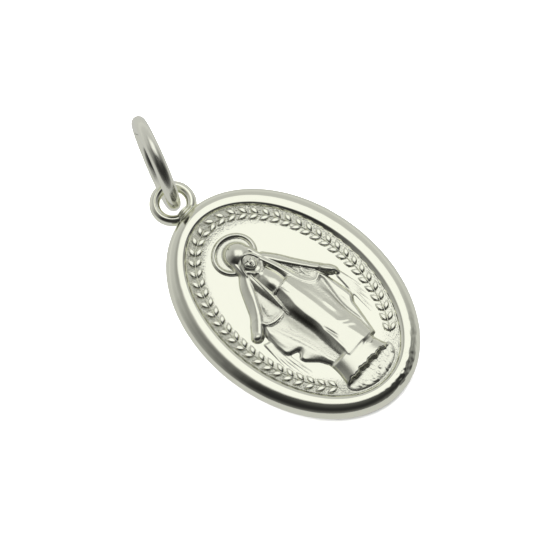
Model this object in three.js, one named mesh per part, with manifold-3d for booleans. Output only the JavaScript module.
// An oval religious medal with its jump ring, lying on a table. Millimetres, +Z up.
// The medal is modelled in its own frame: X to the right of its face, Y towards its loop, Z out of
// its face, with the origin in the middle of the oval at half its thickness. At the end the whole
// pendant is laid down on the lowest points of the rim and of the jump ring.
import * as THREE from "three";
import { mergeVertices } from "three/addons/utils/BufferGeometryUtils.js";
import { ConvexHull } from "three/addons/math/ConvexHull.js";
import Module from "manifold-3d";

// Driving sizes of the medal
const medalHeight = 20.0;
const medalWidth = 14.3;
const rimThickness = 1.8;
const rimSideWidth = 2.0;
const rimEndWidth = 1.65;
const faceRecess = 0.25;
const backRecess = 0.2;
const reliefHeight = 0.72;

// Driving sizes of the soldered loop: its wire, the play of the jump ring in it, and the solder
const loopWire = 0.7;
const loopPlay = 0.45;
const loopSink = 0.42;
const solderWidth = 2.0;
const solderDepth = 0.7;
const solderHeight = 0.84;

// Driving sizes of the jump ring, and how it stands in the loop
const jumpRingWire = 1.0;
const jumpRingHole = 5.2;
const jumpRingTurn = 23.5;
const jumpRingRise = 19.5;
const jumpRingLean = 3.3;
const jumpRingOffset = 0.06;

// Driving sizes of the wreath that runs inside the rim
const wreathMargin = 0.6;
const wreathLeaf = 0.82;
const wreathLeafWidth = 0.34;
const wreathLeafHeight = 0.17;
const wreathStalk = 0.06;
const wreathPitch = 0.78;
const wreathSpread = 32;
const wreathStart = 34;

// The figure is drawn in shares of a frame that is this much wider than the field
const figureReach = 1.054;

// Driving sizes of the halo and the rays; the halo's place is in shares of the figure's frame
const haloX = -0.03;
const haloY = 0.615;
const haloWidth = 3.24;
const haloHeight = 2.96;
const haloWire = 0.22;
const haloRelief = 0.2;
const rayWidth = 0.13;
const rayHeight = 0.1;

// How finely the curved surfaces are divided
const ovalSides = 72;
const rimSides = 12;
const loopSides = 24;
const loopWireSides = 12;
const jumpRingSides = 48;
const jumpRingWireSides = 14;
const haloSides = 40;
const haloWireSides = 8;
const solderSides = 16;
const reliefStepX = 0.17;
const reliefStepY = 0.26;
const bandSides = 8;
const bandSteps = 4;
const domeSides = 12;

// The character of the raised work: how deep it is rooted in the disc, how steep its edges are, how
// much of a band's length its rounded ends take, how round the robe and the globe are, and how much
// of a fold's length it takes to rise and to die away
const reliefRoot = 0.25;
const edgeSlope = 1.4;
const bandEnd = 0.14;
const robeBulge = 0.35;
const globeBulge = 0.8;
const foldEnd = 0.18;

// The reach of the draped work in shares of the figure's frame, and how far it goes under the rim
const drapeHalfWidth = 0.7;
const drapeTop = 0.5;
const drapeFoot = -1.0;
const drapeLap = 0.1;

// Worked-out sizes
const crest = rimThickness / 2;
const faceLevel = crest - faceRecess;
const backLevel = -crest + backRecess;
const faceLipShare = (1 + Math.sqrt(1 - (faceLevel / crest) ** 2)) / 2;
const fieldHalfWidth = medalWidth / 2 - rimSideWidth * faceLipShare;
const fieldHalfHeight = medalHeight / 2 - rimEndWidth * faceLipShare;
const figureHalfWidth = fieldHalfWidth * figureReach;
const figureHalfHeight = fieldHalfHeight;
const loopHole = jumpRingWire + 2 * loopPlay;
const loopRadius = (loopHole + loopWire) / 2;
const loopCentreY = medalHeight / 2 - loopSink + loopRadius + loopWire / 2;
const jumpRingRadius = (jumpRingHole + jumpRingWire) / 2;

const wasm = await Module();
wasm.setup();

// Geometry to solid and back
function solidOf(geometry) {
  geometry.deleteAttribute("normal");
  geometry.deleteAttribute("uv");
  const merged = mergeVertices(geometry, 1e-4);
  return new wasm.Manifold(
    new wasm.Mesh({
      numProp: 3,
      vertProperties: merged.attributes.position.array,
      triVerts: new Uint32Array(merged.index.array),
    }),
  );
}

function geometryOf(solid) {
  const mesh = solid.getMesh();
  const geometry = new THREE.BufferGeometry();
  geometry.setAttribute("position", new THREE.BufferAttribute(mesh.vertProperties, 3));
  geometry.setIndex(new THREE.BufferAttribute(mesh.triVerts, 1));
  geometry.computeVertexNormals();
  return geometry;
}

// Moves every vertex of a geometry to where a function puts it
function reshape(geometry, place) {
  const positions = geometry.attributes.position;
  const point = new THREE.Vector3();
  for (let i = 0; i < positions.count; i++) {
    point.fromBufferAttribute(positions, i);
    place(point);
    positions.setXYZ(i, point.x, point.y, point.z);
  }
  return geometry;
}

// A point that lies a given distance inside the medal's oval outline
function ovalPoint(angle, inset) {
  const edge = new THREE.Vector2((Math.cos(angle) * medalWidth) / 2, (Math.sin(angle) * medalHeight) / 2);
  const inward = new THREE.Vector2(-Math.cos(angle) * medalHeight, -Math.sin(angle) * medalWidth).normalize();
  return edge.addScaledVector(inward, inset);
}

// The rim and the disc: one closed profile, turned on a round of the medal's half width and then
// drawn out to the oval, where the rim narrows from its sides to its ends
function blankGeometry() {
  const turnedRadius = medalWidth / 2;
  const from = Math.asin(faceLevel / crest);
  const to = 2 * Math.PI + Math.asin(backLevel / crest);
  const profile = [new THREE.Vector2(0, faceLevel)];
  for (let i = 0; i <= rimSides; i++) {
    const angle = from + ((to - from) * i) / rimSides;
    const inset = (rimSideWidth / 2) * (1 + Math.cos(angle));
    profile.push(new THREE.Vector2(turnedRadius - inset, crest * Math.sin(angle)));
  }
  profile.push(new THREE.Vector2(0, backLevel));
  return reshape(new THREE.LatheGeometry(profile, ovalSides), (point) => {
    const radius = Math.hypot(point.x, point.z);
    const onAxis = radius < 1e-6;
    const level = point.y;
    const angle = Math.atan2(point.z, point.x);
    const narrowed = THREE.MathUtils.lerp(rimEndWidth / rimSideWidth, 1, Math.cos(angle) ** 2);
    const place = ovalPoint(angle, (turnedRadius - radius) * narrowed);
    point.set(onAxis ? 0 : place.x, onAxis ? 0 : place.y, level);
  });
}

// A rounded band along a smooth path: rows of x, y, half width and height, as shares
function bandSolid(rows) {
  const path = new THREE.CatmullRomCurve3(
    rows.map((row) => new THREE.Vector3(row.x * figureHalfWidth, row.y * figureHalfHeight, 0)),
  );
  const halves = rows.map((row) => row.half * figureHalfWidth);
  const rises = rows.map((row) => row.rise * reliefHeight);
  const tube = new THREE.SphereGeometry(1, bandSides, bandSteps * (rows.length - 1));
  reshape(tube, (point) => {
    const polar = Math.acos(THREE.MathUtils.clamp(point.y, -1, 1)) / Math.PI;
    const girth = Math.hypot(point.x, point.z);
    const around = Math.atan2(point.z, point.x);
    const fullness = Math.min(1, girth / Math.sin(Math.PI * bandEnd));
    const middle = path.getPoint(polar);
    const way = path.getTangent(polar);
    const half = sampleRows(halves, polar) * fullness * Math.cos(around);
    const rise = sampleRows(rises, polar) * fullness * Math.sin(around);
    point.set(middle.x - way.y * half, middle.y + way.x * half, faceLevel + rise);
  });
  return solidOf(tube);
}

// A value between the evenly spaced rows of a list, at a share of its length
function sampleRows(values, share) {
  const place = share * (values.length - 1);
  const row = Math.min(values.length - 2, Math.floor(place));
  return THREE.MathUtils.lerp(values[row], values[row + 1], place - row);
}

// A rounded mass that stands half out of the field
function domeSolid(row) {
  const dome = new THREE.SphereGeometry(1, domeSides, domeSides / 2);
  dome.rotateX(Math.PI / 2);
  dome.scale(row.halfX * figureHalfWidth, row.halfY * figureHalfHeight, row.rise * reliefHeight);
  dome.translate(row.x * figureHalfWidth, row.y * figureHalfHeight, faceLevel);
  return solidOf(dome);
}

// Height of a draped panel between a left and a right edge, which its rows give level by level.
// It climbs from its edges at one slope, goes on down at that slope outside them, and bulges
// between them by a share.
function panelHeight(x, y, rows, bulge) {
  const level = y / figureHalfHeight;
  const last = rows.length - 1;
  const held = THREE.MathUtils.clamp(level, rows[last].y, rows[0].y);
  const i = Math.max(1, rows.findIndex((row) => row.y <= held));
  const along = (rows[i - 1].y - held) / (rows[i - 1].y - rows[i].y);
  const left = THREE.MathUtils.lerp(rows[i - 1].left, rows[i].left, along) * figureHalfWidth;
  const right = THREE.MathUtils.lerp(rows[i - 1].right, rows[i].right, along) * figureHalfWidth;
  const rise = THREE.MathUtils.lerp(rows[i - 1].rise, rows[i].rise, along) * reliefHeight;
  const ends = Math.min(rows[0].y - level, level - rows[last].y) * figureHalfHeight;
  const climb = Math.min(x - left, right - x, ends) * edgeSlope;
  if (climb < 0) return Math.max(-reliefRoot, climb);
  const across = (2 * x - left - right) / (right - left);
  const crown = 1 - bulge * (1 - Math.sqrt(Math.max(0, 1 - across * across)));
  return rise * crown * Math.tanh(climb / rise);
}

// What the folds add to or take from a panel under them: a soft ridge or groove along a line
function foldHeight(x, y, folds) {
  let sum = 0;
  for (const fold of folds) {
    const level = y / figureHalfHeight;
    const along = (fold.top - level) / (fold.top - fold.foot);
    if (along < 0 || along > 1) continue;
    const middle = THREE.MathUtils.lerp(fold.topX, fold.footX, along) * figureHalfWidth;
    const away = (x - middle) / (fold.half * figureHalfWidth);
    const start = THREE.MathUtils.smoothstep(along, 0, foldEnd);
    const finish = THREE.MathUtils.smoothstep(1 - along, 0, foldEnd);
    sum += fold.rise * reliefHeight * Math.exp(-away * away) * start * finish;
  }
  return sum;
}

// The cloak behind the body: its edges and height, level by level
const cloakSections = [
  { y: 0.47, left: -0.19, right: 0.17, rise: 0.5 },
  { y: 0.35, left: -0.34, right: 0.33, rise: 0.36 },
  { y: 0.23, left: -0.42, right: 0.4, rise: 0.3 },
  { y: 0.12, left: -0.53, right: 0.49, rise: 0.3 },
  { y: -0.07, left: -0.57, right: 0.53, rise: 0.34 },
  { y: -0.26, left: -0.61, right: 0.55, rise: 0.34 },
  { y: -0.31, left: -0.54, right: 0.54, rise: 0.34 },
  { y: -0.34, left: -0.46, right: 0.53, rise: 0.34 },
  { y: -0.37, left: -0.51, right: 0.49, rise: 0.36 },
  { y: -0.43, left: -0.52, right: 0.46, rise: 0.36 },
  { y: -0.55, left: -0.37, right: 0.41, rise: 0.38 },
  { y: -0.66, left: -0.33, right: 0.35, rise: 0.4 },
];

// The robe from the neck to the hem
const robeSections = [
  { y: 0.43, left: -0.1, right: 0.1, rise: 0.6 },
  { y: 0.35, left: -0.115, right: 0.115, rise: 0.7 },
  { y: 0.15, left: -0.13, right: 0.165, rise: 0.78 },
  { y: 0.06, left: -0.16, right: 0.185, rise: 0.74 },
  { y: -0.06, left: -0.19, right: 0.24, rise: 0.76 },
  { y: -0.23, left: -0.23, right: 0.31, rise: 0.8 },
  { y: -0.47, left: -0.25, right: 0.34, rise: 0.82 },
  { y: -0.6, left: -0.26, right: 0.33, rise: 0.8 },
  { y: -0.69, left: -0.27, right: 0.31, rise: 0.72 },
];

// The half globe under the feet, and the ground under it
const globeSections = [
  { y: -0.66, left: -0.25, right: 0.24, rise: 0.6 },
  { y: -0.7, left: -0.32, right: 0.29, rise: 0.8 },
  { y: -0.77, left: -0.355, right: 0.32, rise: 0.92 },
  { y: -0.85, left: -0.365, right: 0.33, rise: 0.86 },
];
const groundSections = [
  { y: -0.81, left: -0.38, right: 0.33, rise: 0.34 },
  { y: -0.86, left: -0.42, right: 0.35, rise: 0.44 },
  { y: -0.93, left: -0.38, right: 0.32, rise: 0.36 },
  { y: -0.98, left: -0.2, right: 0.18, rise: 0.2 },
];

// Sleeves, hands, the cloak's hanging borders and the hood, each a band along a path
const bands = [
  {
    name: "left sleeve",
    rows: [
      { x: -0.17, y: 0.43, half: 0.08, rise: 0.7 },
      { x: -0.32, y: 0.29, half: 0.085, rise: 0.66 },
      { x: -0.44, y: 0.15, half: 0.085, rise: 0.6 },
      { x: -0.56, y: 0.07, half: 0.09, rise: 0.6 },
      { x: -0.64, y: 0.0, half: 0.085, rise: 0.6 },
    ],
  },
  {
    name: "right sleeve",
    rows: [
      { x: 0.17, y: 0.43, half: 0.08, rise: 0.7 },
      { x: 0.3, y: 0.31, half: 0.07, rise: 0.66 },
      { x: 0.4, y: 0.18, half: 0.058, rise: 0.6 },
      { x: 0.5, y: 0.07, half: 0.055, rise: 0.58 },
      { x: 0.6, y: -0.02, half: 0.07, rise: 0.6 },
      { x: 0.625, y: -0.075, half: 0.055, rise: 0.55 },
    ],
  },
  {
    name: "left border",
    rows: [
      { x: -0.14, y: 0.41, half: 0.05, rise: 0.8 },
      { x: -0.16, y: 0.2, half: 0.045, rise: 0.76 },
      { x: -0.2, y: 0.0, half: 0.04, rise: 0.7 },
      { x: -0.22, y: -0.3, half: 0.045, rise: 0.6 },
      { x: -0.24, y: -0.6, half: 0.04, rise: 0.55 },
    ],
  },
  {
    name: "right border",
    rows: [
      { x: 0.14, y: 0.41, half: 0.05, rise: 0.8 },
      { x: 0.2, y: 0.25, half: 0.05, rise: 0.76 },
      { x: 0.26, y: 0.08, half: 0.05, rise: 0.68 },
      { x: 0.28, y: -0.04, half: 0.05, rise: 0.62 },
      { x: 0.34, y: -0.3, half: 0.04, rise: 0.55 },
    ],
  },
  {
    name: "left sleeve hem",
    rows: [
      { x: -0.5, y: 0.04, half: 0.035, rise: 0.5 },
      { x: -0.41, y: -0.02, half: 0.04, rise: 0.52 },
      { x: -0.31, y: -0.045, half: 0.04, rise: 0.54 },
      { x: -0.22, y: -0.03, half: 0.035, rise: 0.56 },
    ],
  },
  {
    name: "right sleeve hem",
    rows: [
      { x: 0.29, y: 0.0, half: 0.04, rise: 0.56 },
      { x: 0.36, y: -0.03, half: 0.045, rise: 0.54 },
      { x: 0.43, y: -0.01, half: 0.04, rise: 0.52 },
      { x: 0.49, y: 0.03, half: 0.035, rise: 0.5 },
    ],
  },
  {
    name: "left side of the hood",
    rows: [
      { x: -0.145, y: 0.6, half: 0.05, rise: 0.7 },
      { x: -0.15, y: 0.5, half: 0.05, rise: 0.72 },
      { x: -0.16, y: 0.42, half: 0.06, rise: 0.72 },
    ],
  },
  {
    name: "right side of the hood",
    rows: [
      { x: 0.1, y: 0.6, half: 0.05, rise: 0.7 },
      { x: 0.13, y: 0.5, half: 0.05, rise: 0.72 },
      { x: 0.15, y: 0.42, half: 0.06, rise: 0.72 },
    ],
  },
  {
    name: "sash",
    rows: [
      { x: -0.1, y: 0.14, half: 0.03, rise: 0.92 },
      { x: 0.14, y: 0.135, half: 0.03, rise: 0.92 },
    ],
  },
  {
    name: "collar",
    rows: [
      { x: -0.07, y: 0.4, half: 0.03, rise: 0.8 },
      { x: 0.0, y: 0.385, half: 0.035, rise: 0.84 },
      { x: 0.08, y: 0.405, half: 0.03, rise: 0.8 },
    ],
  },
];

// The rounded masses: the hooded head, the face in it and the hands
const domes = [
  { name: "hooded head", x: -0.02, y: 0.585, halfX: 0.165, halfY: 0.115, rise: 0.88 },
  { name: "face", x: -0.015, y: 0.535, halfX: 0.085, halfY: 0.075, rise: 1.0 },
  { name: "left hand", x: -0.655, y: -0.02, halfX: 0.085, halfY: 0.06, rise: 0.6 },
  { name: "right hand", x: 0.625, y: -0.06, halfX: 0.06, halfY: 0.06, rise: 0.58 },
];

// The folds of the skirt and the cloak: ridges rise and grooves sink
const robeFolds = [
  { top: 0.14, topX: 0.05, foot: -0.7, footX: 0.07, half: 0.08, rise: 0.22 },
  { top: 0.12, topX: -0.07, foot: -0.66, footX: -0.11, half: 0.05, rise: -0.42 },
  { top: 0.1, topX: 0.14, foot: -0.6, footX: 0.19, half: 0.045, rise: -0.26 },
  { top: 0.02, topX: 0.21, foot: -0.66, footX: 0.27, half: 0.045, rise: 0.18 },
  { top: 0.4, topX: -0.06, foot: 0.13, footX: -0.07, half: 0.045, rise: -0.2 },
  { top: 0.4, topX: 0.03, foot: 0.13, footX: 0.05, half: 0.05, rise: 0.12 },
  { top: -0.03, topX: -0.18, foot: -0.68, footX: -0.21, half: 0.045, rise: 0.2 },
];
const cloakFolds = [
  { top: 0.02, topX: -0.51, foot: -0.62, footX: -0.3, half: 0.05, rise: 0.22 },
  { top: 0.0, topX: -0.42, foot: -0.6, footX: -0.26, half: 0.045, rise: -0.2 },
  { top: 0.0, topX: -0.33, foot: -0.5, footX: -0.27, half: 0.045, rise: 0.16 },
  { top: 0.02, topX: 0.48, foot: -0.6, footX: 0.38, half: 0.05, rise: 0.22 },
  { top: 0.0, topX: 0.4, foot: -0.55, footX: 0.35, half: 0.045, rise: -0.2 },
];

// The hollows of the two open sleeves
const sleeveHollows = [
  { x: -0.3, y: 0.1, halfX: 0.075, halfY: 0.13, depth: 0.22 },
  { x: 0.34, y: 0.1, halfX: 0.075, halfY: 0.14, depth: 0.22 },
];

// Height of the draped parts above the field: the cloak, the robe, the globe and the ground
function drapeHeight(x, y) {
  const cloak = panelHeight(x, y, cloakSections, 0);
  const robe = panelHeight(x, y, robeSections, robeBulge);
  const globe = panelHeight(x, y, globeSections, globeBulge);
  const ground = panelHeight(x, y, groundSections, 0);
  const foldedCloak = cloak > 0 ? cloak + foldHeight(x, y, cloakFolds) - hollowDepth(x, y) : cloak;
  const foldedRobe = robe > 0 ? robe + foldHeight(x, y, robeFolds) : robe;
  return Math.max(foldedCloak, foldedRobe, globe, ground);
}

// How deep the hollow of an open sleeve sinks into the cloak
function hollowDepth(x, y) {
  let depth = 0;
  for (const hollow of sleeveHollows) {
    const away = Math.hypot(
      (x - hollow.x * figureHalfWidth) / (hollow.halfX * figureHalfWidth),
      (y - hollow.y * figureHalfHeight) / (hollow.halfY * figureHalfHeight),
    );
    depth += hollow.depth * reliefHeight * Math.max(0, 1 - away * away);
  }
  return depth;
}

// The draped parts as a slab whose top follows their height, trimmed to the oval of the field
function drapeSolid() {
  const slabWidth = figureHalfWidth * drapeHalfWidth * 2;
  const slabHeight = figureHalfHeight * (drapeTop - drapeFoot);
  const slabCentreY = (figureHalfHeight * (drapeTop + drapeFoot)) / 2;
  const across = Math.round(slabWidth / reliefStepX);
  const along = Math.round(slabHeight / reliefStepY);
  const slab = new THREE.BoxGeometry(slabWidth, slabHeight, 1, across, along, 1);
  reshape(slab, (point) => {
    point.y += slabCentreY;
    const top = point.z > 0;
    point.z = faceLevel + (top ? drapeHeight(point.x, point.y) : -2 * reliefRoot);
  });
  const trim = new THREE.CylinderGeometry(1, 1, rimThickness * 2, ovalSides);
  trim.rotateX(Math.PI / 2);
  trim.scale(fieldHalfWidth + drapeLap, fieldHalfHeight + drapeLap, 1);
  return solidOf(slab).intersect(solidOf(trim));
}

// The ring of the halo round the head
function haloSolid() {
  const halo = new THREE.TorusGeometry((haloWidth - haloWire) / 2, haloWire / 2, haloWireSides, haloSides);
  halo.scale(1, haloHeight / haloWidth, (2 * haloRelief) / haloWire);
  halo.translate(haloX * figureHalfWidth, haloY * figureHalfHeight, faceLevel);
  return solidOf(halo);
}

// A pointed raised sliver from one place to another, half sunk in the field
function sliverSolid(from, to, width, height) {
  const length = from.distanceTo(to);
  const sliver = new THREE.OctahedronGeometry(1);
  sliver.scale(length / 2, width / 2, height);
  sliver.rotateZ(Math.atan2(to.y - from.y, to.x - from.x));
  sliver.translate((from.x + to.x) / 2, (from.y + to.y) / 2, faceLevel);
  return solidOf(sliver);
}

// The rays that fall from the two hands: where each starts and ends
const rays = [
  { fromX: -0.68, fromY: -0.08, toX: -0.73, toY: -0.4 },
  { fromX: -0.66, fromY: -0.09, toX: -0.69, toY: -0.47 },
  { fromX: -0.64, fromY: -0.09, toX: -0.65, toY: -0.53 },
  { fromX: -0.62, fromY: -0.1, toX: -0.58, toY: -0.58 },
  { fromX: -0.6, fromY: -0.1, toX: -0.5, toY: -0.62 },
  { fromX: 0.66, fromY: -0.12, toX: 0.71, toY: -0.38 },
  { fromX: 0.65, fromY: -0.13, toX: 0.67, toY: -0.45 },
  { fromX: 0.63, fromY: -0.13, toX: 0.63, toY: -0.51 },
  { fromX: 0.61, fromY: -0.13, toX: 0.57, toY: -0.56 },
  { fromX: 0.6, fromY: -0.13, toX: 0.5, toY: -0.6 },
];
function raySolids() {
  return rays.map((ray) =>
    sliverSolid(
      new THREE.Vector2(ray.fromX * figureHalfWidth, ray.fromY * figureHalfHeight),
      new THREE.Vector2(ray.toX * figureHalfWidth, ray.toY * figureHalfHeight),
      rayWidth,
      rayHeight,
    ),
  );
}

// The wreath: pairs of leaves on a stem line inside the rim, from the foot up to the top on each side
function wreathSolids() {
  const line = new THREE.EllipseCurve(
    0,
    0,
    fieldHalfWidth - wreathMargin,
    fieldHalfHeight - wreathMargin,
    THREE.MathUtils.degToRad(wreathStart - 90),
    Math.PI / 2,
  );
  const pairs = Math.floor(line.getLength() / wreathPitch);
  const leaves = [];
  const centre = new THREE.Vector2();
  for (let i = 0; i < pairs; i++) {
    const joint = line.getPointAt(i / pairs);
    for (const lean of [-wreathSpread, wreathSpread]) {
      const way = line.getTangentAt(i / pairs).rotateAround(centre, THREE.MathUtils.degToRad(lean));
      const root = joint.clone().addScaledVector(way, wreathStalk);
      const tip = root.clone().addScaledVector(way, wreathLeaf);
      for (const side of [new THREE.Vector2(-1, 1), new THREE.Vector2(1, 1)]) {
        const from = root.clone().multiply(side);
        leaves.push(sliverSolid(from, tip.clone().multiply(side), wreathLeafWidth, wreathLeafHeight));
      }
    }
  }
  return leaves;
}

// The loop and the solder that joins it to the rim
function loopSolid() {
  const ring = new THREE.TorusGeometry(loopRadius, loopWire / 2, loopWireSides, loopSides);
  ring.translate(0, loopCentreY, 0);
  const solder = new THREE.SphereGeometry(0.5, solderSides, solderSides / 2);
  solder.scale(solderWidth, solderDepth, solderHeight);
  solder.translate(0, medalHeight / 2 - loopSink / 2, 0);
  return solidOf(ring).add(solidOf(solder));
}

function medalSolid() {
  let medal = solidOf(blankGeometry());
  const figure = [drapeSolid(), ...bands.map((band) => bandSolid(band.rows)), ...domes.map(domeSolid)];
  for (const piece of [...figure, haloSolid(), loopSolid(), ...raySolids(), ...wreathSolids()]) {
    medal = medal.add(piece);
  }
  return medal;
}

// The jump ring, turned as a ring of round wire and set through the loop
function jumpRingGeometry() {
  const ring = new THREE.TorusGeometry(jumpRingRadius, jumpRingWire / 2, jumpRingWireSides, jumpRingSides);
  ring.translate(0, jumpRingRadius, 0);
  ring.rotateY(Math.PI / 2 - THREE.MathUtils.degToRad(jumpRingLean));
  ring.rotateX(THREE.MathUtils.degToRad(jumpRingRise));
  ring.rotateZ(-THREE.MathUtils.degToRad(jumpRingTurn));
  ring.translate(0, loopCentreY - jumpRingOffset, 0);
  return ring;
}

// The centre of mass of solid geometries, from the volumes under their triangles
function centreOfMass(geometries) {
  const sum = new THREE.Vector3();
  let volume = 0;
  const corners = [new THREE.Vector3(), new THREE.Vector3(), new THREE.Vector3()];
  for (const geometry of geometries) {
    const { index, attributes } = geometry;
    for (let i = 0; i < index.count; i += 3) {
      corners.forEach((corner, k) => corner.fromBufferAttribute(attributes.position, index.getX(i + k)));
      const [a, b, c] = corners;
      const wedge = a.dot(b.clone().cross(c)) / 6;
      volume += wedge;
      sum.addScaledVector(a.clone().add(b).add(c), wedge / 4);
    }
  }
  return sum.divideScalar(volume);
}

// A face of the hull is underneath when its normal points down at least this much
const steepestDown = -0.7;

// The way down, in the medal's frame, when the pendant lies on its back: the face of its convex
// hull that is under the centre of mass
function wayDown(geometries) {
  const points = [];
  for (const { attributes } of geometries) {
    for (let i = 0; i < attributes.position.count; i++) {
      points.push(new THREE.Vector3().fromBufferAttribute(attributes.position, i));
    }
  }
  const centre = centreOfMass(geometries);
  const hull = new ConvexHull().setFromPoints(points);
  const under = hull.faces.find((face) => {
    if (face.normal.z > steepestDown) return false;
    const edges = [face.edge, face.edge.next, face.edge.next.next];
    return edges.every((edge) => {
      const from = edge.tail().point;
      const side = edge.head().point.clone().sub(from).cross(centre.clone().sub(from));
      return side.dot(face.normal) >= 0;
    });
  });
  return under.normal.clone();
}

const silver = { metalness: 1.0, roughness: 0.2 };

function namedMesh(name, geometry, color) {
  const material = new THREE.MeshStandardMaterial({ color, ...silver });
  const mesh = new THREE.Mesh(geometry, material);
  mesh.name = name;
  return mesh;
}

const medal = namedMesh("medal", geometryOf(medalSolid()), 0xe9e8de);
const jumpRing = namedMesh("jump_ring", geometryOf(solidOf(jumpRingGeometry())), 0xeceadf);

// The pendant as it lies: turned onto its lowest points, standing on Z = 0 and centred in X and Y
const lying = new THREE.Group();
lying.add(medal, jumpRing);
const under = wayDown([medal.geometry, jumpRing.geometry]);
lying.quaternion.setFromUnitVectors(under, new THREE.Vector3(0, 0, -1));
const box = new THREE.Box3().setFromObject(lying, true);
const middle = box.getCenter(new THREE.Vector3());
lying.position.set(-middle.x, -middle.y, -box.min.z);

const pendant = new THREE.Group();
pendant.add(lying);
export default pendant;
